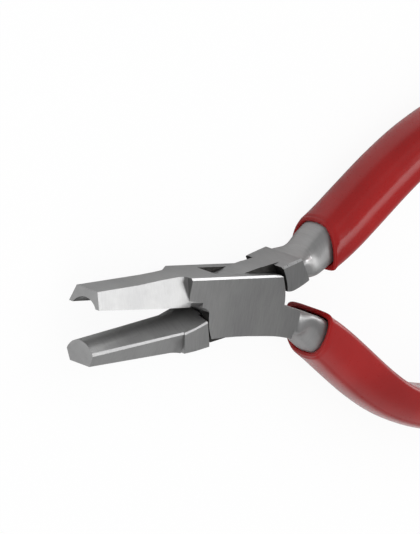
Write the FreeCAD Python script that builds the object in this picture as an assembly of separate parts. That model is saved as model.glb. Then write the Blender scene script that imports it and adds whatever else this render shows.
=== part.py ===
import FreeCAD, Part
import math
import os
from FreeCAD import Vector as V

os.makedirs("parts", exist_ok=True)

# Box-joint forming pliers: a concave upper jaw closes on a half-round lower
# jaw. Millimetres and degrees. The origin is on the pivot axis, on the lower
# side face of the joint. +Z is the pivot axis (the pliers lie flat), the jaws
# point along -X and the handles along +X. Each half is drawn closed and centred
# on z = 0, with its mating line on y = 0 and its jaw on the +Y side; place()
# turns it to the rest opening and lifts it, mirroring the tongue half in y first.

# Joint
thickness = 9.5            # along the pivot axis
half = thickness / 2.0
rest_opening = 12.2        # angle between the two mating lines at rest
tongue_t = 4.80            # thickness of the tongue
slot_t = 4.92              # width of the slot through the box
r_tongue = 8.50            # rounded end of the tongue, about the pivot
r_window = 8.70            # end walls of the window in the box
r_cheek_front = 9.30       # front end of the cheeks
r_cheek_rear = 10.30       # rear end of the cheeks
cheek_fillet = 0.75        # rear top corner of the cheeks
r_shoulder = 10.90         # hollow of the tongue half's rear shoulder
block_end = 9.50           # front block's end face, distance from the pivot
edge_break = 0.36          # bevel along the outer edges
throat_bevel = 0.75        # bevel along the box's front edges, at the throat
room_crest = 0.10          # extra depth of the shoulder room at the crest
room_edge = 0.17           # extra depth of the shoulder room at the edges

# Both jaws, from the tip to the step between jaw and box
x_tip = -36.5
x_step = -15.1
x_upper_end = x_step + 0.6     # upper jaw's root, inside the box
x_block = x_step - 0.15        # lower jaw's root, front of its block
throat_y = 0.45                # underside of the box behind the step
nest_gap = 0.06                # gap between groove and half-round when closed
step_extra_gap = 0.02          # added to it over the crest at the step

# Upper jaw; y is the height above the mating line
tip_inner_y = -0.10        # feet of the legs
step_inner_y = 0.42
tip_narrow = 2.60          # half widths at the back
step_narrow = 2.83
tip_wide = 3.75            # half widths at the feet
step_wide = 5.20           # trimmed by the joint's side faces
tip_groove_r = 3.394       # concave radius
step_groove_r = 4.25
tip_groove_y = 1.45        # crest of the groove
step_groove_y = 1.05

# Back of the upper jaw: x, then height and half width of the +Z edge and
# of the -Z edge. The +Z side flares out just before the step.
upper_back = [
    # x, +Z height, -Z height, +Z half width, -Z half width
    (x_tip, 2.93, 2.97, tip_narrow, tip_narrow),
    (-26.5, 4.06, 3.96, 2.70, 2.70),
    (-20.8, 4.93, 4.52, 2.77, 2.76),
    (-16.9, 5.46, 5.02, 2.88, 2.81),
    (-15.75, 5.54, 5.21, 3.00, 2.83),
    (-15.45, 5.56, 5.26, 3.09, 2.83),
    (x_step + 0.02, 5.57, 5.32, 3.45, 2.85),
    (x_upper_end, 5.57, 5.36, 3.45, 2.85),
]

# Lower jaw
low_tip_back_y = 2.95
low_step_back_y = 5.12
low_tip_narrow = 2.42          # half widths at the back
low_step_narrow = 2.83
low_tip_edge = (0.85, 3.27)    # where the edge facet meets the side, (y, z)
low_step_edge = (1.36, 4.62)
edge_facet_slope = 63.0        # facet along the edges of the half-round
tip_edge_facet = 0.60          # its width
step_edge_facet = 0.40
low_tip_crest = -(tip_groove_y - nest_gap)
low_step_crest = -(step_groove_y - nest_gap - step_extra_gap)

# Sides of the lower jaw sweep out before the step: x, added half width
low_flare = [(x_tip, 0.0), (-16.9, 0.0), (-16.3, 0.16), (-15.75, 0.46), (x_block, 0.98)]

# Front block of the tongue half: x, crest shift, edge height, back height
block_stations = [(x_block, 0.0, 1.48, 4.96), (-12.5, 0.0, 1.18, 5.14), (-9.0, 0.02, 0.48, 5.13)]

# Room in the box for that block: x, edge height
room_corner = [(x_step - 0.3, 1.49), (-12.5, 1.18), (-9.35, 0.55)]
room_slot = [(-9.45, 0.57), (-8.85, 0.45)]

# Rivet
rivet_r = 2.25
rivet_clearance = 0.05
rivet_head_r = 2.95
rivet_head_h = 0.70

# Handles; distances along a handle are measured from the sleeve's mouth
sleeve_wall = 0.95
sleeve_gap = 0.04
handle_len = 71.5          # steel tang inside the sleeve
bore_extra = 0.3           # sleeve bore beyond the tang's end
centreline_len = 80
centreline_pitch = 0.25
heading_ease = 0.35        # share of smoothstep in the blend between headings
square_from = 14           # sections are square to the centreline from here on

# Half outline of the tang, (side, depth) from -1 to 1, with depth +1 on the
# side away from the other handle: a slightly domed flat, a ridge, a bevel,
# a broadly rounded side and a tight inner corner
half_outline = [
    (0.0, 1.0), (0.20, 0.985), (0.37, 0.945), (0.50, 0.885), (0.61, 0.745), (0.71, 0.60),
    (0.79, 0.42), (0.865, 0.20), (0.925, -0.04), (0.97, -0.30), (0.992, -0.55), (0.985, -0.74),
    (0.93, -0.88), (0.80, -0.96), (0.55, -0.99), (0.27, -1.0), (0.0, -1.0),
]
tang_outline = half_outline + [(-side, depth) for side, depth in reversed(half_outline[1:-1])]

# Tang root, in front of the mouth: x, inner y, outer y, width along Z, share
# of the handle's z offset, exponent of the squared outline (None: plain)
root_stations = [
    (12.6, -0.95, -5.20, 8.3, 0.0, 4.6),
    (14.6, -1.05, -5.55, 9.0, 0.0, 4.2),
    (16.6, -1.15, -5.95, 9.3, 0.15, 3.4),
    (18.6, -1.50, -6.75, 9.45, 0.4, None),
    (20.6, -1.98, -8.05, 9.55, 0.75, None),
]

# Tang size square to the centreline: distance, size
tang_depth = [(0, 6.25), (5, 6.45), (16, 6.50), (32, 5.80), (48, 5.80), (64, 5.80), (80, 5.5)]
tang_width = [(0, 9.60), (16, 9.40), (32, 9.55), (48, 9.9), (64, 9.9), (80, 9.3)]

handle_stations = [0, 4, 8] + list(range(14, 69, 6))
sleeve_end = [(72.0, 1.0), (74.0, 0.93), (75.2, 0.78), (75.9, 0.56), (76.25, 0.30)]  # distance, scale
sleeve_points = 32
sleeve_outer_exponent = 1.9    # rounder side, away from the other handle
sleeve_inner_exponent = 4.6    # flatter side


# ---------------------------------------------------------------------------
# Curves and sections
# ---------------------------------------------------------------------------
def lerp(start, end, share):
    return start + (end - start) * share


def table(t, rows, ease=0.0):
    """Value at t from (t, value) rows; ease is the share of smoothstep."""
    for (t0, v0), (t1, v1) in zip(rows, rows[1:]):
        if t <= t1:
            share = (t - t0) / (t1 - t0)
            share = share * share * (3 - 2 * share) * ease + share * (1 - ease)
            return lerp(v0, v1, share)
    return rows[-1][1]


def polar(radius, angle):
    return (radius * math.cos(math.radians(angle)), radius * math.sin(math.radians(angle)))


def closed_edges(items, to_3d):
    """Closed chain of edges. An item is a point, ('arc', mid, end), or
    ('spline', points) for a smooth curve; to_3d turns a pair into a vector."""
    first = current = to_3d(*items[0])
    edges = []
    for item in items[1:]:
        if item[0] == 'arc':
            end = to_3d(*item[2])
            edges.append(Part.Arc(current, to_3d(*item[1]), end).toShape())
        elif item[0] == 'spline':
            points = [current] + [to_3d(*p) for p in item[1]]
            curve = Part.BSplineCurve()
            curve.interpolate(points)
            edges.append(curve.toShape())
            end = points[-1]
        else:
            end = to_3d(*item)
            edges.append(Part.makeLine(current, end))
        current = end
    if (current - first).Length > 1e-7:
        edges.append(Part.makeLine(current, first))
    return edges


def plate(items, thick):
    """Plate over an outline of (x, y) items, centred on z = 0."""
    edges = closed_edges(items, lambda x, y: V(x, y, 0))
    face = Part.Face(Part.Wire(Part.__sortEdges__(edges)))
    face.translate(V(0, 0, -thick / 2.0))
    return face.extrude(V(0, 0, thick))


def section_yz(x, items):
    """Closed wire in the plane at x from (y, z) items."""
    return Part.Wire(closed_edges(items, lambda y, z: V(x, y, z)))


def superellipse_point(angle, exponent):
    """(side, depth) on a unit superellipse; angle in radians from depth +1."""
    c, s = math.cos(angle), math.sin(angle)
    radius = (abs(c) ** exponent + abs(s) ** exponent) ** (-1.0 / exponent)
    return (radius * s, radius * c)


def squared_outline(exponent):
    """The tang's outline pushed out to a rounded rectangle."""
    return [superellipse_point(math.atan2(side, depth), exponent) for side, depth in tang_outline]


def sleeve_outline():
    """D-shaped outline, rounder on the side away from the other handle."""
    points = []
    for i in range(sleeve_points):
        angle = 2 * math.pi * (i + 0.5) / sleeve_points
        roundness = max(math.cos(angle), 0) ** 0.5
        exponent = lerp(sleeve_inner_exponent, sleeve_outer_exponent, roundness)
        points.append(superellipse_point(angle, exponent))
    return points


def ring(outline, x, y, z, angle, depth, width):
    """Smooth closed wire through a (side, depth) outline scaled to size. Its
    plane holds the Z axis, and its depth runs along (sin angle, -cos angle)."""
    a = math.radians(angle)
    points = []
    for unit_side, unit_depth in outline:
        reach = unit_depth * depth / 2.0
        points.append(V(x + reach * math.sin(a), y - reach * math.cos(a),
                        z + unit_side * width / 2.0))
    curve = Part.BSplineCurve()
    curve.interpolate(Points=points, PeriodicFlag=True)
    return Part.Wire([curve.toShape()])


def ruled_chain(sections):
    """Ruled lofts between neighbouring sections, fused."""
    pieces = [Part.makeLoft([a, b], True, True) for a, b in zip(sections, sections[1:])]
    body = pieces[0]
    for piece in pieces[1:]:
        body = body.fuse(piece)
    return body


def between_side_faces(shape):
    """Trim a shape to the joint's two side faces."""
    return shape.common(Part.makeBox(60, 40, thickness, V(-50, -20, -half)))


# ---------------------------------------------------------------------------
# Handles
# ---------------------------------------------------------------------------
class Handle:
    """Tang and sleeve of one handle. Sections are nearly square to the X axis
    at the mouth and square to the centreline from square_from on."""

    def __init__(self, mouth, z_offset, headings):
        self.z_offset, self.headings = z_offset, headings
        x, y = mouth
        self.centreline = [(x, y, self.heading(0))]
        t = 0.0
        while t < centreline_len:
            h = math.radians(self.heading(t + centreline_pitch / 2))
            x += math.cos(h) * centreline_pitch
            y += math.sin(h) * centreline_pitch
            t += centreline_pitch
            self.centreline.append((x, y, self.heading(t)))

    def heading(self, t):
        return table(t, self.headings, heading_ease)

    def at(self, t):
        return self.centreline[int(round(t / centreline_pitch))]

    def section_angle(self, t):
        if t >= square_from:
            return self.at(t)[2]
        return table(t, [(0, 3.0), (5, -10.0), (square_from, self.at(square_from)[2])])

    def section(self, t, grow, outline, scale=1.0):
        x, y, heading = self.at(t)
        angle = self.section_angle(t)
        oblique = 1.0 / math.cos(math.radians(angle - heading))
        depth = (table(t, tang_depth) + 2 * grow) * oblique * scale
        width = (table(t, tang_width) + 2 * grow) * scale
        return ring(outline, x, y, self.z_offset, angle, depth, width)

    def tang(self, grow, length):
        """Root and tang; only the sections from the mouth on are grown."""
        wires = []
        for x, inner_y, outer_y, width, z_share, exponent in root_stations:
            outline = tang_outline if exponent is None else squared_outline(exponent)
            wires.append(ring(outline, x, (inner_y + outer_y) / 2.0, self.z_offset * z_share,
                              0.0, inner_y - outer_y, width))
        wires += [self.section(t, grow, tang_outline) for t in handle_stations + [length]]
        return Part.makeLoft(wires, True, False)

    def sleeve(self):
        """Grip sleeve with a domed end, bored to fit over the tang."""
        stations = [(t, 1.0) for t in handle_stations] + sleeve_end
        outline = sleeve_outline()
        wires = [self.section(t, sleeve_gap + sleeve_wall, outline, scale)
                 for t, scale in stations]
        outer = Part.makeLoft(wires, True, False)
        return outer.cut(self.tang(sleeve_gap, handle_len + bore_extra))


# headings: distance, direction of the centreline
box_handle = Handle(
    mouth=(22.70, -5.95), z_offset=0.15,
    headings=[(0, -24.0), (8, -29.2), (16, -29.2), (24, -25.1), (32, -15.5),
              (40, -7.1), (48, 0.3), (56, 2.5), (64, 3.5), (80, 4.5)])
tongue_handle = Handle(
    mouth=(22.70, -6.12), z_offset=-0.35,
    headings=[(0, -22.0), (8, -30.4), (16, -30.4), (24, -26.4), (32, -18.6),
              (40, -9.8), (48, -1.0), (56, 2.0), (64, 3.5), (80, 4.5)])


# ---------------------------------------------------------------------------
# Cutters shared by the parts
# ---------------------------------------------------------------------------
def bevel_line(shape, start, end, inward, size, over=6.0):
    """Bevel the edges of both side faces along the line start-end (x, y) with
    a 45 degree cut; inward (x, y) points into the metal, over is the cutter's reach."""
    along = V(end[0] - start[0], end[1] - start[1], 0)
    length = along.Length + 0.04
    along.normalize()
    into = V(inward[0], inward[1], 0)
    into = into - along * into.dot(along)
    into.normalize()
    base = V(start[0], start[1], 0) - along * 0.02
    for s in (1, -1):
        z = V(0, 0, s)
        on_face = base + z * half + into * size
        on_edge = base + z * (half - size)
        corner = base + z * (half + over) - into * over
        slope = on_face - on_edge
        triangle = Part.Face(Part.makePolygon(
            [on_face + slope, on_edge - slope, corner, on_face + slope]))
        shape = shape.cut(triangle.extrude(along * length))
    return shape


def cut_beyond_plane(shape, p1, p2, p3, outward, depth):
    """Cut away what lies outside the plane through three points."""
    normal = (p2 - p1).cross(p3 - p1)
    normal.normalize()
    if normal.dot(outward) < 0:
        normal = normal * -1.0
    slab = Part.makeBox(24, 24, depth, V(-12, -12, 0))
    slab.Placement = FreeCAD.Placement(p1, FreeCAD.Rotation(V(0, 0, 1), normal))
    return shape.cut(slab)


def rivet_hole(radius):
    return Part.makeCylinder(radius, thickness + 2, V(0, 0, -half - 1))


def rivet_heads():
    """The two conical heads, widening to the side faces."""
    return [Part.makeCone(rivet_r, rivet_head_r, rivet_head_h,
                          V(0, 0, s * (half - rivet_head_h)), V(0, 0, s)) for s in (1, -1)]


# ---------------------------------------------------------------------------
# Box half: concave jaw, slotted box, handle tang
# ---------------------------------------------------------------------------
def groove_half_width(y, radius, crest_y):
    return math.sqrt(radius ** 2 - (y - (crest_y - radius)) ** 2)


def concave_jaw():
    sections = []
    for x, plus_y, minus_y, plus_z, minus_z in upper_back:
        f = (x - x_tip) / (x_upper_end - x_tip)
        foot_y = lerp(tip_inner_y, step_inner_y, f)
        foot_z = lerp(tip_wide, step_wide, f)
        crest_y = lerp(tip_groove_y, step_groove_y, f)
        groove_z = groove_half_width(foot_y, lerp(tip_groove_r, step_groove_r, f), crest_y)
        sections.append(section_yz(x, [
            (minus_y, -minus_z), (plus_y, plus_z), (foot_y, foot_z), (foot_y, groove_z),
            ('arc', (crest_y, 0.0), (foot_y, -groove_z)), (foot_y, -foot_z)]))
    return between_side_faces(ruled_chain(sections))


def box_blank():
    top_rear = polar(r_cheek_rear, 35.45)
    outline = [
        (x_step, throat_y), (x_step, 5.59), top_rear,
        # rear of the cheeks, top and rear of the tang root
        ('arc', polar(r_cheek_rear, 18), polar(r_cheek_rear, 1.8)),
        ('spline', [(11.1, 0.10), (11.9, -0.14), (13.6, -0.42), (15.0, -0.95)]),
        ('spline', [(15.02, -1.7), (14.95, -2.62), (14.49, -3.73), (14.03, -5.03),
                    (13.85, -5.92)]),
        # bottom, front of the cheeks, throat
        ('spline', [(12.3, -5.70), (10.77, -5.50), (5.9, -5.26), (1.1, -5.19), (-3.2, -5.28),
                    polar(r_cheek_front, 180 + 36.4)]),
        ('arc', polar(r_cheek_front, 180 + 20), polar(r_cheek_front, 180 + 4.9)),
        ('spline', [(-9.60, -0.33), (-10.25, 0.03), (-11.2, 0.29), (-12.3, 0.42),
                    (-12.9, throat_y)]),
    ]
    blank = plate(outline, thickness)
    corner = [e for e in blank.Edges if len(e.Vertexes) == 2 and
              all((v.Point - V(top_rear[0], top_rear[1], v.Point.z)).Length < 1e-3
                  for v in e.Vertexes)]
    return blank.makeFillet(cheek_fillet, corner)


def groove_run_out():
    """The jaw's groove carried on behind the step, widening below the throat."""
    arc_y = throat_y - 0.5
    arc_z = groove_half_width(arc_y, step_groove_r, step_groove_y)
    low_y = throat_y - 3
    low_z = groove_half_width(throat_y, step_groove_r, step_groove_y) + 1.2
    items = [(low_y, -low_z), (arc_y, -arc_z), ('arc', (step_groove_y, 0.0), (arc_y, arc_z)),
             (low_y, low_z)]
    return Part.makeLoft([section_yz(x, items) for x in (x_step - 0.5, -8.6)], True, True)


def shoulder_room(stations):
    """Room for the other half's front block when closed."""
    sections = [half_round(x, low_step_crest - room_crest, step_groove_r - nest_gap,
                           edge_y - room_edge, half, 5.0, half) for x, edge_y in stations]
    return Part.makeLoft(sections, True, True).mirror(V(0, 0, 0), V(0, 1, 0))


def cut_slot(body):
    """Round window about the pivot, open at the front below the throat and
    at the rear above the tang root."""
    bottom_z = -slot_t / 2.0
    window = Part.makeCylinder(r_window, slot_t, V(0, 0, bottom_z))
    front = Part.makeBox(12.0, 12.0, slot_t, V(-14.0, -12.0 + throat_y - 0.1, bottom_z))
    rear = plate([(4.0, 0.0), (4.0, 9.0), (16.0, 9.0), (16.0, 0.10), (9.0, 0.10)], slot_t)
    return body.cut(window).cut(front).cut(rear)


def build_box_half():
    blank = box_blank()
    # top edges, then the front edges along the throat
    blank = bevel_line(blank, (x_step - 0.5, 5.582), (9.5, 5.998), (0, -1), edge_break)
    blank = bevel_line(blank, (x_step - 0.5, throat_y), (-11.4, throat_y), (0, 1),
                       throat_bevel, 0.8)
    # slant on the -Z side of the step, running out below
    x_face = x_step - 0.02
    blank = cut_beyond_plane(blank, V(x_face, 5.45, -step_narrow), V(-12.35, 5.60, -half),
                             V(x_face, 1.35, -half), V(0, 0, -1), 6)
    # the jaw's back runs on into the top of the box as a slanted facet
    blank = cut_beyond_plane(blank, V(x_face, 5.575, 3.9), V(x_face, 5.32, -step_narrow),
                             V(-12.6, 5.60, -half), V(0, 1, 0), 3)
    blank = blank.cut(groove_run_out())
    # shoulder room under the front corner, then behind it inside the slot only
    blank = blank.cut(shoulder_room(room_corner))
    in_slot = Part.makeBox(4.0, 12.0, slot_t, V(-11.0, -6.0, -slot_t / 2.0))
    blank = blank.cut(shoulder_room(room_slot).common(in_slot))

    body = blank.fuse(concave_jaw())
    body = body.fuse(box_handle.tang(0.0, handle_len))
    body = cut_slot(body)
    body = body.cut(rivet_hole(rivet_r))
    for head in rivet_heads():
        body = body.cut(head)
    return body


# ---------------------------------------------------------------------------
# Tongue half: half-round jaw, front block, tongue, rear shoulder, handle tang
# ---------------------------------------------------------------------------
def half_round(x, crest_y, radius, edge_y, edge_z, back_y, back_z, facet=step_edge_facet):
    """Section with a flat back, slanted sides, a narrow facet along each
    edge, straight flanks tangent to the crest and a half-round crest."""
    centre_y = crest_y + radius
    slope = math.radians(edge_facet_slope)
    facet_y = edge_y - facet * math.sin(slope)
    facet_z = edge_z - facet * math.cos(slope)
    # tangent point of the flank on the crest circle
    distance = math.hypot(facet_y - centre_y, facet_z)
    angle = math.atan2(facet_z, facet_y - centre_y) + math.acos(min(1.0, radius / distance))
    tangent_y = centre_y + radius * math.cos(angle)
    tangent_z = radius * math.sin(angle)
    return section_yz(x, [
        (back_y, -back_z), (back_y, back_z), (edge_y, edge_z), (facet_y, facet_z),
        (tangent_y, tangent_z), ('arc', (crest_y, 0.0), (tangent_y, -tangent_z)),
        (facet_y, -facet_z), (edge_y, -edge_z)])


def half_round_jaw():
    sections = []
    for x, flare in low_flare:
        f = (x - x_tip) / (x_block - x_tip)
        sections.append(half_round(
            x, lerp(low_tip_crest, low_step_crest, f),
            lerp(tip_groove_r, step_groove_r, f) - nest_gap,
            lerp(low_tip_edge[0], low_step_edge[0], f),
            lerp(low_tip_edge[1], low_step_edge[1], f),
            lerp(low_tip_back_y, low_step_back_y, f),
            lerp(low_tip_narrow, low_step_narrow, f) + flare,
            lerp(tip_edge_facet, step_edge_facet, f)))
    return ruled_chain(sections)


def front_block():
    """Full-thickness block behind the jaw, with a flat end face on each side
    of the tongue."""
    sections = [half_round(x, low_step_crest + shift, step_groove_r - nest_gap,
                           edge_y, half, back_y, half)
                for x, shift, edge_y, back_y in block_stations]
    block = between_side_faces(ruled_chain(sections))
    normal = V(-0.992, 0.1265, 0)
    normal.normalize()
    middle = normal * block_end
    across = V(-normal.y, normal.x, 0) * 20
    back = normal * 20
    corners = [middle + across, middle - across, middle - across - back, middle + across - back]
    keepout = Part.Face(Part.makePolygon(corners + corners[:1]))
    keepout.translate(V(0, 0, -20))
    keepout = keepout.extrude(V(0, 0, 40))
    keepout = keepout.cut(Part.makeBox(60, 60, tongue_t, V(-30, -30, -tongue_t / 2.0)))
    return block.cut(keepout)


def tongue_disc():
    """Disc about the pivot, cut off at top and bottom."""
    disc = Part.makeCylinder(r_tongue, tongue_t, V(0, 0, -tongue_t / 2.0))
    band = [(-12, -5.0), (-1.5, -5.30), (0.6, -5.36), (2.4, -5.60), (5.7, -5.74), (12, -5.70),
            (12, 5.60), (-12, 5.60)]
    return disc.common(plate(band, tongue_t))


def rear_shoulder():
    bottom_front = polar(r_shoulder, -30.2)
    outline = [
        bottom_front,
        ('arc', polar(r_shoulder, -17), polar(r_shoulder, -3.3)),
        ('spline', [(12.1, -0.46), (13.7, -0.69), (15.2, -1.09), (16.45, -1.53)]),
        ('spline', [(16.1, -2.5), (15.63, -3.48), (15.1, -4.5), (14.71, -5.30), (14.42, -6.05)]),
        ('spline', [(12.1, -5.84), bottom_front]),
    ]
    return bevel_line(plate(outline, thickness), (9.0, -5.44), (14.8, -6.09), (0, 1), edge_break)


def build_tongue_half():
    # webs from the disc to the block in front and to the shoulder behind
    front_web = [(-9.4, -0.22), (-6.0, -0.22), (-6.0, 5.60), (-9.4, 5.13)]
    rear_web = [(5.0, -5.70), (10.2, -5.71), (11.4, -5.70), (11.4, -0.6), (8.4, -0.6),
                (6.0, -1.0)]
    body = front_block()
    for piece in (half_round_jaw(), tongue_disc(), plate(front_web, tongue_t),
                  plate(rear_web, tongue_t), rear_shoulder(),
                  tongue_handle.tang(0.0, handle_len)):
        body = body.fuse(piece)
    return body.cut(rivet_hole(rivet_r + rivet_clearance))


def build_rivet():
    rivet = Part.makeCylinder(rivet_r, thickness, V(0, 0, -half))
    for head in rivet_heads():
        rivet = rivet.fuse(head)
    return rivet


# ---------------------------------------------------------------------------
# Placing and export
# ---------------------------------------------------------------------------
def single(shape):
    """The largest solid, with split faces merged."""
    try:
        shape = shape.removeSplitter()
    except Exception:
        # merging can fail on lofted faces; the unmerged shape is then used
        pass
    return max(shape.Solids, key=lambda solid: solid.Volume)


def place(shape, mirrored):
    """Turn a closed-position part to the rest opening and lift it."""
    if mirrored:
        shape = shape.mirror(V(0, 0, 0), V(0, 1, 0))
    shape = shape.copy()
    shape.rotate(V(0, 0, 0), V(0, 0, 1), (rest_opening / 2.0) * (1 if mirrored else -1))
    shape.translate(V(0, 0, half))
    return shape


pivot_rivet = single(build_rivet())
pivot_rivet.translate(V(0, 0, half))

parts = {
    "box_half": place(single(build_box_half()), False),
    "tongue_half": place(single(build_tongue_half()), True),
    "pivot_rivet": pivot_rivet,
    "lower_grip_sleeve": place(single(box_handle.sleeve()), False),
    "upper_grip_sleeve": place(single(tongue_handle.sleeve()), True),
}
for name, part in parts.items():
    part.exportStep("parts/%s.step" % name)
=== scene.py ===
"""Box-joint pliers with red dipped-vinyl grips, lying on a pale floor.

The rivet's axis is z, through the origin.  The jaws point to -x and the handles to +x.
The box half carries the lower grip (-y), the tongue half the upper grip (+y).
The drawing and its tables are in mm and degrees; objects are built in metres.
"""
import bpy
import bmesh
import bisect
import math
from mathutils import Vector, Matrix


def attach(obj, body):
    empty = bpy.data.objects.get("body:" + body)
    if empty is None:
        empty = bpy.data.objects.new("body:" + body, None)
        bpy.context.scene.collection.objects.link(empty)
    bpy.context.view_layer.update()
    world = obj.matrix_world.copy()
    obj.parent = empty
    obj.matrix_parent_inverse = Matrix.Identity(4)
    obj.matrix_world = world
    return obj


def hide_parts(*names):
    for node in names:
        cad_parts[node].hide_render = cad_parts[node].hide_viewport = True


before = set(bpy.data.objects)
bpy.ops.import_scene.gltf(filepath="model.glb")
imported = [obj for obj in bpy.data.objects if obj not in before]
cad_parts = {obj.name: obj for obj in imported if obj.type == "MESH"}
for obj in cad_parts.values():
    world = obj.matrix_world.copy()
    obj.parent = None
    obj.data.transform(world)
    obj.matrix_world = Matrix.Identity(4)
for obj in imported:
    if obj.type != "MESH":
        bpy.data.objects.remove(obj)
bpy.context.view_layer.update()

MM = 0.001
HALF_OPENING = 6.1      # turn of each half from closed to rest, degrees
HALF_THICKNESS = 4.75   # half of the joint's thickness, also the height of its middle


# ---------------------------------------------------------------------------
# objects
# ---------------------------------------------------------------------------
def add_object(name, data):
    ob = bpy.data.objects.new(name, data)
    bpy.context.scene.collection.objects.link(ob)
    return ob


def mesh_object(name, bm, smooth=True):
    mesh = bpy.data.meshes.new(name)
    bmesh.ops.recalc_face_normals(bm, faces=bm.faces)
    bm.to_mesh(mesh)
    bm.free()
    mesh.polygons.foreach_set("use_smooth", [smooth] * len(mesh.polygons))
    return add_object(name, mesh)


def stand_in(ob, body, node):
    """Let an object move with a body and replace a CAD node."""
    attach(ob, body)
    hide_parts(node)


# ---------------------------------------------------------------------------
# shader node helpers
# ---------------------------------------------------------------------------
def rgba(value):
    """An opaque colour from an (r, g, b) tuple or a grey level."""
    return (*value, 1.0) if isinstance(value, tuple) else (value, value, value, 1.0)


class Shader:
    """Builds the node tree of a material or a world.

    Any input may be given as a value or as another node's output socket.
    """

    def __init__(self, owner):
        owner.use_nodes = True
        self.tree = owner.node_tree
        self.tree.nodes.clear()

    def node(self, kind, inputs=None, **settings):
        node = self.tree.nodes.new("ShaderNode" + kind)
        for key, value in settings.items():
            setattr(node, key, value)
        for key, value in (inputs or {}).items():
            if isinstance(value, bpy.types.NodeSocket):
                self.tree.links.new(value, node.inputs[key])
            else:
                node.inputs[key].default_value = value
        return node

    def math(self, operation, first, second=None, clamp=False):
        inputs = {0: first} if second is None else {0: first, 1: second}
        return self.node("Math", inputs, operation=operation, use_clamp=clamp).outputs[0]

    def one_minus(self, value):
        return self.math("SUBTRACT", 1.0, value)

    def multiply_colours(self, first, second, factor=1.0):
        inputs = {"Fac": factor, "Color1": first, "Color2": second}
        return self.node("MixRGB", inputs, blend_type="MULTIPLY").outputs["Color"]

    def ramp(self, factor, *stops):
        """A colour ramp through (position, colour or grey level) stops."""
        node = self.node("ValToRGB", {"Fac": factor})
        elements = node.color_ramp.elements
        while len(elements) > 1:
            elements.remove(elements[-1])
        elements[0].position = stops[0][0]
        elements[0].color = rgba(stops[0][1])
        for position, colour in stops[1:]:
            elements.new(position).color = rgba(colour)
        return node.outputs["Color"]

    def map_range(self, value, start, end, to_start=0.0, to_end=1.0, curve="SMOOTHSTEP"):
        inputs = {"Value": value, "From Min": start, "From Max": end,
                  "To Min": to_start, "To Max": to_end}
        return self.node("MapRange", inputs, interpolation_type=curve).outputs["Result"]

    def split(self, vector):
        """The x, y and z outputs of a vector, by name."""
        return self.node("SeparateXYZ", {0: vector}).outputs

    def object_space(self):
        return self.node("TexCoord").outputs["Object"]

    def mapping(self, vector, **inputs):
        return self.node("Mapping", {"Vector": vector, **inputs}).outputs[0]

    def noise(self, vector, scale, detail, roughness, distortion=0.0):
        inputs = {"Vector": vector, "Scale": scale, "Detail": detail,
                  "Roughness": roughness, "Distortion": distortion}
        return self.node("TexNoise", inputs).outputs["Fac"]

    def bump(self, height, strength, distance, **inputs):
        inputs.update(Height=height, Strength=strength, Distance=distance)
        return self.node("Bump", inputs).outputs["Normal"]

    def principled(self, inputs):
        self.output(self.node("BsdfPrincipled", inputs).outputs[0])

    def output(self, surface, kind="OutputMaterial"):
        self.node(kind, {"Surface": surface})


def new_material(name):
    material = bpy.data.materials.new(name)
    return material, Shader(material)


# ---------------------------------------------------------------------------
# materials
# ---------------------------------------------------------------------------
def satin_steel(name, turn, base, seed, roughness=0.36, tint=0.72, bump=1.0, metallic=1.0):
    """Satin steel ground across the length of the tool, with a coarser
    waviness and a roughness that follows the grain."""
    material, shader = new_material(name)
    position = shader.object_space()
    turned = shader.mapping(position, Rotation=(0.0, 0.0, math.radians(turn)),
                            Location=(seed, seed * 0.37, seed * 0.71))

    def grain(across, **noise):
        """Noise whose y and z are scaled by across; below 1 it draws out into lines."""
        return shader.noise(shader.mapping(turned, Scale=(1.0, across, across)), **noise)

    fine = grain(across=0.045, scale=9000.0, detail=3.0, roughness=0.6)
    middle = grain(across=0.10, scale=2600.0, detail=3.0, roughness=0.55)
    wide = grain(across=0.6, scale=140.0, detail=4.0, roughness=0.5)
    spots = grain(across=1.0, scale=1400.0, detail=2.0, roughness=0.5)
    lines = shader.math("ADD", shader.math("MULTIPLY", fine, 0.6),
                        shader.math("MULTIPLY", middle, 0.4))

    line_colour = shader.ramp(lines, (0.30, base * 0.86), (0.50, base), (0.72, base * 1.12))
    tone = shader.ramp(wide, (0.30, (0.93, 0.93, 0.935)), (0.70, (1.05, 1.05, 1.045)))
    colour = shader.multiply_colours(line_colour, tone)
    freckles = shader.ramp(spots, (0.22, 0.80), (0.34, 1.0))

    # painted light and shade: faces square to z are painted paler at the jaws and darker at the
    # handles
    normal = shader.split(shader.node("NewGeometry").outputs["Normal"])
    flatness = shader.map_range(shader.math("ABSOLUTE", normal["Z"]), start=0.90, end=0.985)
    along = shader.map_range(shader.split(position)["X"], start=-0.014, end=0.012,
                             to_start=1.13, to_end=0.80, curve="LINEAR")
    painted_shading = shader.math("MULTIPLY", shader.math("SUBTRACT", along, 1.0), flatness)
    colour = shader.multiply_colours(colour, shader.math("ADD", painted_shading, 1.0))
    colour = shader.multiply_colours(colour, freckles, factor=0.25)

    line_roughness = shader.ramp(lines, (0.25, roughness - 0.07), (0.75, roughness + 0.09))
    spot_roughness = shader.math("MULTIPLY", shader.math("SUBTRACT", spots, 0.5), 0.10)
    relief = shader.bump(fine, strength=0.20 * bump, distance=0.00003)
    relief = shader.bump(middle, strength=0.14 * bump, distance=0.00006, Normal=relief)
    shader.principled({
        "Metallic": metallic,
        "Specular Tint": rgba(tint),
        "Base Color": colour,
        "Roughness": shader.math("ADD", line_roughness, spot_roughness, clamp=True),
        "Normal": relief})
    return material


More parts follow.
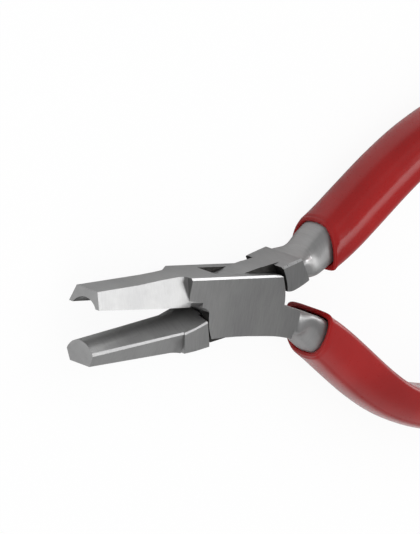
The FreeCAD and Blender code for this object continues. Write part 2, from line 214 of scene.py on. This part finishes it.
def painted_shade_steel(name):
    """Unpolished inner faces of the joint, painted near black as the shade inside the joint and
    mottled by noise.
    """
    material, shader = new_material(name)
    position = shader.mapping(shader.object_space(), Location=(0.3, 0.15, 0.09))
    stains = shader.noise(position, scale=900.0, detail=4.0, roughness=0.6)
    grit = shader.noise(position, scale=4200.0, detail=2.0, roughness=0.5)
    shader.principled({
        "Metallic": 0.85,
        # painted shade: a near-black base colour for faces that lie in shadow inside the joint
        "Base Color": shader.ramp(stains, (0.3, (0.040, 0.038, 0.036)),
                                  (0.7, (0.085, 0.083, 0.080))),
        "Roughness": shader.ramp(grit, (0.3, 0.42), (0.7, 0.62)),
        "Normal": shader.bump(grit, strength=0.3, distance=0.00004)})
    return material


def dipped_vinyl(name, seed):
    """Deep red vinyl under a clear skin with a slight orange-peel and the
    long soft swellings left by dipping."""
    material, shader = new_material(name)
    position = shader.mapping(shader.object_space(), Location=(seed, seed * 0.61, seed * 0.23))
    cloud = shader.noise(position, scale=60.0, detail=3.0, roughness=0.5, distortion=0.2)
    peel = shader.noise(position, scale=1500.0, detail=2.0, roughness=0.5)
    swell = shader.noise(position, scale=110.0, detail=2.0, roughness=0.4)
    fleck = shader.noise(position, scale=5200.0, detail=2.0, roughness=0.6)
    red = shader.ramp(cloud, (0.30, (0.255, 0.0065, 0.0065)), (0.50, (0.300, 0.0085, 0.0085)),
                      (0.72, (0.345, 0.0110, 0.0105)))
    flecks = shader.ramp(fleck, (0.35, 0.97), (0.65, 1.03))
    relief = shader.bump(peel, strength=0.10, distance=0.00005)
    relief = shader.bump(swell, strength=0.22, distance=0.0004, Normal=relief)
    shader.principled({
        "Base Color": shader.multiply_colours(red, flecks),
        "Roughness": shader.ramp(peel, (0.3, 0.27), (0.7, 0.34)),
        "Specular IOR Level": 0.08,
        "Coat Weight": 0.85,
        "Coat Roughness": 0.13,
        "Coat IOR": 1.39,
        "Subsurface Weight": 0.06,
        "Subsurface Radius": (1.0, 0.2, 0.15),
        "Subsurface Scale": 0.0006,
        "Normal": relief,
        "Coat Normal": relief})
    return material


BOX_STEEL = satin_steel("satin_steel_box", turn=HALF_OPENING, base=0.38, seed=0.13)
TONGUE_STEEL = satin_steel("satin_steel_tongue", turn=-HALF_OPENING, base=0.38, seed=0.42)
RIVET_STEEL = satin_steel("satin_steel_rivet", turn=HALF_OPENING, base=0.38, seed=0.13)
# painted highlight: bevels and upward chamfers get a paler base colour than the body steel, as a
# bright edge line
PAINTED_HIGHLIGHT_EDGE = satin_steel("edge_painted_highlight", turn=0.0, base=0.56, seed=0.55,
                          roughness=0.30, tint=0.9, bump=0.5)
# painted highlight: the tongue half's jaw edge facet and bevels get a slightly paler base
# colour, for a soft bright line
SATIN_HIGHLIGHT_EDGE = satin_steel("satin_edge_facet_painted_highlight", turn=-HALF_OPENING, base=0.44, seed=0.61,
                         roughness=0.40, tint=0.85, bump=0.7)
SHANK_STEEL = satin_steel("satin_steel_shank", turn=0.0, base=0.42, seed=0.29,
                          roughness=0.47, tint=0.8, metallic=0.88)
ROUND_STEEL = satin_steel("satin_steel_half_round", turn=-HALF_OPENING, base=0.37, seed=0.42,
                          roughness=0.40, metallic=0.72)
# near-black steel painted as the shade inside the joint
JOINT_STEEL = painted_shade_steel("joint_steel_painted_shade")
LOWER_VINYL = dipped_vinyl("dipped_vinyl_lower", seed=0.21)
UPPER_VINYL = dipped_vinyl("dipped_vinyl_upper", seed=0.68)


# ---------------------------------------------------------------------------
# steel pieces: clean copies of the CAD solids with softened edges
# ---------------------------------------------------------------------------
# material slots of every steel piece
BODY, JOINT, EDGE, ROUND, SHANK, HANDLE_EDGE = range(6)

SHARP_ANGLE = math.radians(24.0)    # edges that turn more than this are sharp
FLAT_ANGLE = math.radians(0.6)      # faces that meet at less than this are merged
WELD_DISTANCE = 2e-6                # metres
RIVET_CLEARANCE = 3.4               # edges within this radius stay unbevelled, mm
BEVEL_WIDTH = 0.16                  # mm
BEVEL_SEGMENTS = 2

SLOT_WALL = 2.46        # height of the box's slot walls from the joint's middle, mm
TONGUE_WALL = 2.40      # height of the tongue's flat faces from the joint's middle, mm


def near(value, target, tolerance):
    return abs(value - target) < tolerance


# The slot functions below take a face's centre (mm, z from the joint's middle) and normal.
def box_slot(x, y, z, normal):
    radius = math.hypot(x, y)
    slope = abs(normal.z)
    upright = slope < 0.3
    in_slot = abs(z) < 2.47
    # these joint faces take the near-black material painted as the shade inside the joint
    if any((
            near(abs(z), SLOT_WALL, 0.02) and slope > 0.95 and radius < 16.0,   # slot walls
            upright and near(radius, 9.30, 0.25) and x < 0 and y < 0.9,     # arc on the jaw side
            upright and in_slot and near(radius, 8.70, 0.12),               # slot's round ends
            upright and in_slot and 8.0 < x < 12.0 and radius > 8.5 and y > -2.2,   # handle side
            upright and radius < 2.35)):                                    # bore
        return JOINT
    # upward chamfers take the edge materials, painted brighter as a highlight
    if 0.62 < slope < 0.80 and normal.y > 0.6 and -15.6 < x < 10.5 and radius > 5.0:
        return HANDLE_EDGE if x > 0 else EDGE
    if x * 0.9471 - y * 0.3215 > 15.25:     # beyond a slanted line across the shank
        return SHANK
    return BODY


def tongue_slot(x, y, z, normal):
    radius = math.hypot(x, y)
    slope = abs(normal.z)
    upright = slope < 0.3
    # these joint faces take the near-black material painted as the shade inside the joint
    if any((
            near(abs(z), TONGUE_WALL, 0.02) and slope > 0.95 and radius < 11.4,     # flat faces
            upright and radius < 2.45,                                      # bore
            upright and near(radius, 10.90, 0.12) and x > 0,                # arc, handle side
            9.0 < radius < 11.0 and x < 0 and normal.x > 0.9)):             # end, jaw side
        return JOINT
    if x < -8.5:        # the jaw: narrow facets, then its half-round surface
        # the edge facet takes the edge material, painted slightly brighter as a highlight
        if 0.84 < slope < 0.93 and 0.30 < normal.y < 0.55 and abs(normal.x) < 0.2:
            return EDGE
        if normal.y > 0.5 and abs(normal.x) < 0.5 and slope < 0.84:
            return ROUND
    # upward chamfers on the handle side take the bright edge material, painted as a highlight
    elif 0.62 < slope < 0.80 and normal.y > 0.6 and 8.0 < x < 17.5:
        return HANDLE_EDGE
    if x * 0.8632 + y * 0.5046 > 15.67:     # beyond a slanted line across the shank
        return SHANK
    return BODY


def rivet_slot(x, y, z, normal):
    # the bore takes the near-black material painted as shade
    return JOINT if math.hypot(x, y) < 2.35 and abs(normal.z) < 0.3 else BODY


def is_sharp(edge):
    return len(edge.link_faces) == 2 and edge.calc_face_angle(0.0) > SHARP_ANGLE


def clean_copy(source, name):
    """A welded, simplified copy whose sharp outer edges carry bevel weight."""
    mesh = source.copy()
    mesh.name = name
    bm = bmesh.new()
    bm.from_mesh(mesh)
    bmesh.ops.remove_doubles(bm, verts=bm.verts, dist=WELD_DISTANCE)
    bmesh.ops.dissolve_limit(bm, angle_limit=FLAT_ANGLE, verts=bm.verts, edges=bm.edges,
                             use_dissolve_boundaries=False)
    layers = bm.edges.layers.float
    weight = layers.get("bevel_weight_edge") or layers.new("bevel_weight_edge")
    for edge in bm.edges:
        middle = (edge.verts[0].co + edge.verts[1].co) / 2
        outside = math.hypot(middle.x, middle.y) / MM > RIVET_CLEARANCE
        edge[weight] = 1.0 if is_sharp(edge) and outside else 0.0
    bm.to_mesh(mesh)
    bm.free()
    custom_normals = mesh.attributes.get("custom_normal")
    if custom_normals:
        mesh.attributes.remove(custom_normals)
    return mesh


def smooth_by_angle(mesh):
    bm = bmesh.new()
    bm.from_mesh(mesh)
    for face in bm.faces:
        face.smooth = True
    for edge in bm.edges:
        edge.smooth = not is_sharp(edge)
    bm.to_mesh(mesh)
    bm.free()


def add_bevel(ob):
    bevel = ob.modifiers.new("edge", "BEVEL")
    bevel.width = BEVEL_WIDTH * MM
    bevel.segments = BEVEL_SEGMENTS
    bevel.limit_method = "WEIGHT"
    bevel.harden_normals = True
    # the bevels take the edge slot's material, painted brighter as a highlight
    bevel.material = EDGE
    bevel.use_clamp_overlap = True
    bevel.miter_outer = "MITER_ARC"


def steel_piece(node, name, steel, edge_steel, slot_of):
    mesh = clean_copy(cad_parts[node].data, name)
    smooth_by_angle(mesh)
    mesh.materials.clear()
    for material in (steel, JOINT_STEEL, edge_steel, ROUND_STEEL, SHANK_STEEL, PAINTED_HIGHLIGHT_EDGE):
        mesh.materials.append(material)
    for face in mesh.polygons:
        x, y, z = (value / MM for value in face.center)
        face.material_index = slot_of(x, y, z - HALF_THICKNESS, face.normal)
    return add_object(name, mesh)


box_half = steel_piece("box_half", "box_half_ground", BOX_STEEL, PAINTED_HIGHLIGHT_EDGE, box_slot)
add_bevel(box_half)
stand_in(box_half, "box_side", "box_half")

tongue_half = steel_piece("tongue_half", "tongue_half_ground", TONGUE_STEEL, SATIN_HIGHLIGHT_EDGE,
                          tongue_slot)
add_bevel(tongue_half)
stand_in(tongue_half, "tongue_side", "tongue_half")

rivet = steel_piece("pivot_rivet", "pivot_rivet_flush", RIVET_STEEL, PAINTED_HIGHLIGHT_EDGE, rivet_slot)
stand_in(rivet, "box_side", "pivot_rivet")


# ---------------------------------------------------------------------------
# grips: rings swept along each handle, drawn closed with the handle at -y
# ---------------------------------------------------------------------------
# mouth: start of the centreline; rise: its height above the joint's middle;
# headings: (distance along the centreline, direction in degrees)
LOWER_HANDLE = dict(
    mouth=(22.70, -5.95), rise=0.15, mirrored=False,
    headings=[(0, -24.0), (8, -29.2), (16, -29.2), (24, -25.1), (32, -15.5),
              (40, -7.1), (48, 0.3), (56, 2.5), (64, 3.5), (80, 4.5)])
UPPER_HANDLE = dict(
    mouth=(22.70, -6.12), rise=-0.35, mirrored=True,
    headings=[(0, -22.0), (8, -30.4), (16, -30.4), (24, -26.4), (32, -18.6),
              (40, -9.8), (48, -1.0), (56, 2.0), (64, 3.5), (80, 4.5)])
HEADING_EASE = 0.35     # share of smoothstep in the turn between two headings
CENTRELINE_LENGTH = 80.0
CENTRELINE_STEP = 0.25

# the tang's size: (distance along the centreline, size)
TANG_WIDTH = [(0, 6.25), (5, 6.45), (16, 6.50), (32, 5.80), (48, 5.80), (64, 5.80), (80, 5.5)]
TANG_THICKNESS = [(0, 9.60), (16, 9.40), (32, 9.55), (48, 9.9), (64, 9.9), (80, 9.3)]

# half cross-sections from the outer side (1) to the inner side (-1):
# (share of half the thickness, share of half the width)
TANG_PROFILE = [
    (0.0, 1.0), (0.20, 0.985), (0.37, 0.945), (0.50, 0.885), (0.61, 0.745),
    (0.71, 0.60), (0.79, 0.42), (0.865, 0.20), (0.925, -0.04), (0.97, -0.30),
    (0.992, -0.55), (0.985, -0.74), (0.93, -0.88), (0.80, -0.96),
    (0.55, -0.99), (0.27, -1.0), (0.0, -1.0)]
SLEEVE_PROFILE = [
    (0.0, 1.0), (0.20, 0.985), (0.38, 0.935), (0.53, 0.85), (0.66, 0.72),
    (0.765, 0.55), (0.85, 0.35), (0.915, 0.12), (0.958, -0.13), (0.985, -0.38),
    (1.0, -0.60), (0.985, -0.77), (0.915, -0.90), (0.76, -0.97), (0.50, -0.995),
    (0.25, -1.0), (0.0, -1.0)]
CURVE_STEPS = 8         # curve points per profile point
RING_POINTS = 96

MOUTH_HEADING = 3.0     # the mouth's plane faces this way, degrees
SQUARE_FROM = 14.0      # from here on the rings stand square to the centreline
SLEEVE_WALL = 0.99
BORE_RINGS = [(3.0, 0.02), (1.8, 0.06), (1.0, 0.10)]    # (distance, gap around the tang)
MOUTH_GAP = 0.13
LIP_DEPTH = 0.42
LIP_STEPS = 10
SLEEVE_STEP = 0.8
END_START = 72.0        # where the rounded end begins
# (distance, scale of the ring)
END_RINGS = [(72.6, 0.995), (73.4, 0.965), (74.2, 0.905), (74.9, 0.81), (75.45, 0.68),
             (75.85, 0.51), (76.08, 0.31), (76.14, 0.12)]


def lerp(start, end, share):
    return start + (end - start) * share


def interpolate(distance, rows, ease=0.0):
    """The table's value at a distance; ease mixes in a smoothstep."""
    distance = max(distance, rows[0][0])
    for (d0, v0), (d1, v1) in zip(rows, rows[1:]):
        if distance <= d1:
            share = (distance - d0) / (d1 - d0)
            share = lerp(share, share * share * (3 - 2 * share), ease)
            return lerp(v0, v1, share)
    return rows[-1][1]


def averaged(distance, rows, reach=5.0, samples=7):
    """The table's mean over a few millimetres, so the surface has no kinks."""
    reach = reach if distance > reach else max(0.5, distance)
    return sum(interpolate(distance + reach * (2.0 * i / (samples - 1) - 1.0), rows)
               for i in range(samples)) / samples


def catmull_rom(points):
    """A closed smooth curve through (a, b) points."""
    curve = []
    for i in range(len(points)):
        p0, p1, p2, p3 = (points[(i + j - 1) % len(points)] for j in range(4))
        for step in range(CURVE_STEPS):
            t = step / CURVE_STEPS
            curve.append(tuple(
                0.5 * (2 * p1[c] + (p2[c] - p0[c]) * t +
                       (2 * p0[c] - 5 * p1[c] + 4 * p2[c] - p3[c]) * t * t +
                       (3 * p1[c] - p0[c] - 3 * p2[c] + p3[c]) * t ** 3) for c in (0, 1)))
    return curve


def sampled(half_profile, width, thickness):
    """RING_POINTS points of the whole profile, spaced evenly in the angle
    of an ellipse of the ring's size."""
    turn = 2 * math.pi
    curve = catmull_rom(half_profile + [(-z, m) for z, m in reversed(half_profile[1:-1])])
    angles = []
    for z, m in curve:
        angle = math.atan2(z * thickness, m * width)
        angles.append(angle if angle >= -1e-9 else angle + turn)
    order = sorted(range(len(curve)), key=lambda i: angles[i])
    keys = [angles[i] for i in order]
    points = []
    for i in range(RING_POINTS):
        even = turn * (i + 0.5) / RING_POINTS
        angle = math.atan2(math.sin(even) * thickness, math.cos(even) * width) % turn
        before = bisect.bisect_right(keys, angle) - 1
        after = (before + 1) % len(order)
        start = keys[before] if before >= 0 else keys[before] - turn
        end = keys[after] + (turn if before == len(order) - 1 else 0.0)
        share = (angle - start) / max(1e-9, end - start)
        first, second = curve[order[before]], curve[order[after]]
        points.append(tuple(lerp(first[c], second[c], share) for c in (0, 1)))
    return points


class Handle:
    """A handle's centreline and the rings around it."""

    def __init__(self, mouth, rise, mirrored, headings):
        self.rise = rise
        self.mirrored = mirrored
        self.headings = headings
        x, y = mouth
        self.centreline = [mouth]
        for i in range(round(CENTRELINE_LENGTH / CENTRELINE_STEP)):
            heading = self.heading((i + 0.5) * CENTRELINE_STEP)
            x += math.cos(heading) * CENTRELINE_STEP
            y += math.sin(heading) * CENTRELINE_STEP
            self.centreline.append((x, y))

    def heading_degrees(self, distance):
        return interpolate(distance, self.headings, HEADING_EASE)

    def heading(self, distance):
        return math.radians(self.heading_degrees(distance))

    def facing(self, distance):
        """Direction the ring's plane faces, in radians."""
        if distance >= SQUARE_FROM:
            around = [self.heading_degrees(distance + k) for k in (-2, -1, 0, 1, 2)]
            return math.radians(sum(around) / 5.0)
        share = max(0.0, distance) / SQUARE_FROM
        share = share * (2 - share) * 0.6 + 0.4 * share
        return math.radians(lerp(MOUTH_HEADING, self.heading_degrees(SQUARE_FROM), share))

    def centre(self, distance):
        steps = max(0.0, distance) / CENTRELINE_STEP
        i = min(int(steps), len(self.centreline) - 2)
        (x0, y0), (x1, y1) = self.centreline[i:i + 2]
        return lerp(x0, x1, steps - i), lerp(y0, y1, steps - i)

    def ring(self, profile, distance, grow, scale=1.0):
        """A profile's ring, grow mm outside the tang's size."""
        x, y = self.centre(distance)
        facing = self.facing(distance)
        # a plane askew to the centreline cuts a wider section
        stretch = 1.0 / math.cos(facing - self.heading(distance))
        width = (averaged(distance, TANG_WIDTH) + 2 * grow) * stretch * scale
        thickness = (averaged(distance, TANG_THICKNESS) + 2 * grow) * scale
        points = []
        for z, m in sampled(profile, width, thickness):
            outward = m * width / 2.0
            points.append((x + outward * math.sin(facing), y - outward * math.cos(facing),
                           z * thickness / 2.0 + self.rise))
        return points

    def lip(self):
        """Rings over the rounded rim, from the gap's edge to the outside."""
        inner = self.ring(TANG_PROFILE, 0.0, MOUTH_GAP)
        outer = self.ring(SLEEVE_PROFILE, 0.0, SLEEVE_WALL)
        facing = self.facing(0.0)
        rings = []
        for j in range(LIP_STEPS + 1):
            angle = math.pi * j / LIP_STEPS
            share = 0.5 - 0.5 * math.cos(angle)
            inset = LIP_DEPTH * (1.0 - math.sin(angle) ** 0.8)
            shift = (math.cos(facing) * inset, math.sin(facing) * inset, 0.0)
            rings.append([tuple(lerp(a[c], b[c], share) + shift[c] for c in range(3))
                          for a, b in zip(inner, outer)])
        return rings

    def placed(self, point):
        """A point of the closed drawing, mm, at rest in the frame, metres."""
        x, y, z = point
        if self.mirrored:
            y = -y
        angle = math.radians(HALF_OPENING if self.mirrored else -HALF_OPENING)
        cos, sin = math.cos(angle), math.sin(angle)
        return Vector((x * cos - y * sin, x * sin + y * cos, z + HALF_THICKNESS)) * MM


def grip(name, handle, material):
    """A sleeve: bore, lip, outside and closed rounded end."""
    rings = [handle.ring(TANG_PROFILE, distance, gap) for distance, gap in BORE_RINGS]
    rings += handle.lip()
    distance = SLEEVE_STEP
    while distance < END_START:
        rings.append(handle.ring(SLEEVE_PROFILE, distance, SLEEVE_WALL))
        distance += SLEEVE_STEP
    rings += [handle.ring(SLEEVE_PROFILE, distance, SLEEVE_WALL, scale)
              for distance, scale in END_RINGS]

    bm = bmesh.new()
    loops = [[bm.verts.new(handle.placed(point)) for point in ring] for ring in rings]
    for a, b in zip(loops, loops[1:]):
        for i in range(RING_POINTS):
            j = (i + 1) % RING_POINTS
            bm.faces.new((a[i], a[j], b[j], b[i]))
    bm.faces.new(loops[-1])
    bm.faces.new(list(reversed(loops[0])))
    ob = mesh_object(name, bm)
    ob.data.materials.append(material)
    return ob


lower_grip = grip("lower_grip_dipped", Handle(**LOWER_HANDLE), LOWER_VINYL)
stand_in(lower_grip, "box_side", "lower_grip_sleeve")
upper_grip = grip("upper_grip_dipped", Handle(**UPPER_HANDLE), UPPER_VINYL)
stand_in(upper_grip, "tongue_side", "upper_grip_sleeve")


# ---------------------------------------------------------------------------
# floor
# ---------------------------------------------------------------------------
FLOOR_HEIGHT = -0.0022      # metres
FLOOR_REACH = 8             # metres from the origin to each side


def floor_material():
    """Near white to the camera, darker in bounced light and glancing reflections."""
    material, shader = new_material("pale_floor")
    ray = shader.node("LightPath").outputs
    brightness = shader.math("SUBTRACT", 0.90,
                             shader.math("MULTIPLY", ray["Is Diffuse Ray"], 0.38))
    incoming = shader.split(shader.node("NewGeometry").outputs["Incoming"])
    falloff = shader.map_range(shader.math("ABSOLUTE", incoming["Z"]), start=0.12, end=0.50,
                               to_start=0.52, to_end=0.0)
    brightness = shader.math("SUBTRACT", brightness,
                             shader.math("MULTIPLY", ray["Is Glossy Ray"], falloff))
    diffuse = shader.node("BsdfDiffuse", {"Color": brightness, "Roughness": 0.0})
    glow = shader.node("Emission", {"Color": rgba(1.0), "Strength": 1.0})
    mix = shader.node("MixShader", {
        "Fac": shader.math("MULTIPLY", ray["Is Camera Ray"], 0.93),
        1: diffuse.outputs[0],
        2: glow.outputs[0]})
    shader.output(mix.outputs[0])
    return material


def build_floor():
    bm = bmesh.new()
    bm.faces.new([bm.verts.new((x * FLOOR_REACH, y * FLOOR_REACH, FLOOR_HEIGHT))
                  for x, y in ((-1, -1), (1, -1), (1, 1), (-1, 1))])
    floor = mesh_object("floor", bm, smooth=False)
    floor.data.materials.append(floor_material())


build_floor()


# ---------------------------------------------------------------------------
# world: an even room for diffuse light, a studio for reflections
# ---------------------------------------------------------------------------
ROOM_LEVEL = 0.36       # brightness of the reflected room
OVERHEAD_DIMMING = 0.45
LOW_BAND_LEVEL = 0.36   # added low down on the -y side
# a tall softbox beyond the handles; azimuth from +x, half widths where it fades
SOFTBOX_LEVEL = 2.5
SOFTBOX_AZIMUTH = math.radians(24.5)
SOFTBOX_INNER = math.radians(13.0)
SOFTBOX_OUTER = math.radians(23.0)
# round glows: (direction, full within degrees, gone at degrees, level)
GLOWS = [
    ((-0.9, 0.1, 0.35), 15, 60, 0.10),
    ((0.55, 0.07, 0.83), 3, 9, 2.7),
    ((0.314, 0.591, 0.743), 8, 28, 0.22)]


def sine(degrees):
    return math.sin(math.radians(degrees))


def cosine(degrees):
    return math.cos(math.radians(degrees))


def reflected_studio(shader, direction, axes):
    """Brightness that glossy rays see in a direction."""
    math_node, step = shader.math, shader.map_range
    azimuth = math_node("ARCTAN2", axes["Y"], axes["X"])
    off = math_node("ABSOLUTE", math_node("SUBTRACT", azimuth, SOFTBOX_AZIMUTH), 0.0)
    across = shader.one_minus(step(off, SOFTBOX_INNER, SOFTBOX_OUTER))
    below_top = shader.one_minus(step(axes["Z"], sine(50), sine(64)))
    overhead = step(axes["Z"], 0.70, 0.86)
    dim = shader.one_minus(math_node("MULTIPLY", overhead, OVERHEAD_DIMMING))
    low = shader.one_minus(step(axes["Z"], sine(20), sine(44)))
    lower_side = step(math_node("MULTIPLY", axes["Y"], -1.0), 0.08, 0.45)

    level = math_node("MULTIPLY", dim, ROOM_LEVEL)
    parts = [(math_node("MULTIPLY", low, lower_side), LOW_BAND_LEVEL),
             (math_node("MULTIPLY", across, below_top), SOFTBOX_LEVEL)]
    for toward, inner, outer, strength in GLOWS:
        dot = shader.node("VectorMath", {0: direction, 1: Vector(toward).normalized()},
                          operation="DOT_PRODUCT")
        parts.append((step(dot.outputs["Value"], cosine(outer), cosine(inner)), strength))
    for mask, strength in parts:
        level = math_node("ADD", level, math_node("MULTIPLY", mask, strength))
    return level


def even_room(shader, axes, is_diffuse):
    """Diffuse light, stronger from the jaws' side; plain white for other rays."""
    room = shader.math("SUBTRACT", 0.98, shader.math("MULTIPLY", axes["X"], 0.36))
    return shader.math("ADD", shader.math("MULTIPLY", room, is_diffuse),
                       shader.one_minus(is_diffuse))


def build_world():
    world = bpy.data.worlds.new("studio")
    bpy.context.scene.world = world
    world.cycles.sampling_method = "NONE"
    shader = Shader(world)
    ray = shader.node("LightPath").outputs
    generated = shader.node("TexCoord").outputs["Generated"]
    direction = shader.node("VectorMath", {0: generated}, operation="NORMALIZE").outputs[0]
    axes = shader.split(direction)
    even = shader.node("Background", {"Color": rgba(1.0), "Strength": 1.0})
    seen = shader.node("Background", {"Strength": 1.0})
    links = shader.tree.links
    links.new(reflected_studio(shader, direction, axes), seen.inputs["Color"])
    links.new(even_room(shader, axes, ray["Is Diffuse Ray"]), even.inputs["Color"])
    mix = shader.node("MixShader", {
        "Fac": ray["Is Glossy Ray"], 1: even.outputs[0], 2: seen.outputs[0]})
    shader.output(mix.outputs[0], kind="OutputWorld")


build_world()


# ---------------------------------------------------------------------------
# key light and camera
# ---------------------------------------------------------------------------
KEY_DIRECTION = Vector((0.78, 0.42, 0.50)).normalized()
KEY_TARGET = Vector((0.01, 0, 0))   # metres
KEY_DISTANCE = 0.9                  # metres
KEY_SIZE = (0.45, 0.8)              # metres
KEY_POWER = 1.4                     # watts

# rows: the camera's right, up and backward axes before its turn about z
CAMERA_AXES = Matrix(((0.67918351, 0.17772004, 0.71212734),
                      (0.00654462, 0.9687374, -0.24800206),
                      (-0.73393932, 0.17309952, 0.65678736)))
CAMERA_TURN = 0.11065               # radians
# position along the camera's own axes from the joint's middle, mm
CAMERA_OFFSET = Vector((-2.9425, 6.1834, 950.0))
SENSOR_WIDTH = 36.0                 # mm
FOCAL_LENGTH = 358.13292            # mm


def build_key_light():
    light = bpy.data.lights.new("key", "AREA")
    light.shape = "RECTANGLE"
    light.size, light.size_y = KEY_SIZE
    light.energy = KEY_POWER
    key = add_object("key", light)
    key.location = KEY_TARGET + KEY_DIRECTION * KEY_DISTANCE
    key.rotation_mode = "QUATERNION"
    key.rotation_quaternion = (-KEY_DIRECTION).to_track_quat("-Z", "Y")
    key.visible_camera = False
    key.visible_glossy = False


def build_camera():
    lens = bpy.data.cameras.new("camera")
    lens.sensor_width = SENSOR_WIDTH
    lens.lens = FOCAL_LENGTH
    lens.clip_start = 0.01
    lens.clip_end = 50.0
    camera = add_object("camera", lens)
    to_frame = (CAMERA_AXES @ Matrix.Rotation(CAMERA_TURN, 3, "Z")).transposed()
    camera.location = (to_frame @ CAMERA_OFFSET + Vector((0, 0, HALF_THICKNESS))) * MM
    camera.rotation_mode = "QUATERNION"
    camera.rotation_quaternion = to_frame.to_quaternion()
    bpy.context.scene.camera = camera


build_key_light()
build_camera()

view = bpy.context.scene.view_settings
view.view_transform = "Standard"
view.look = "None"
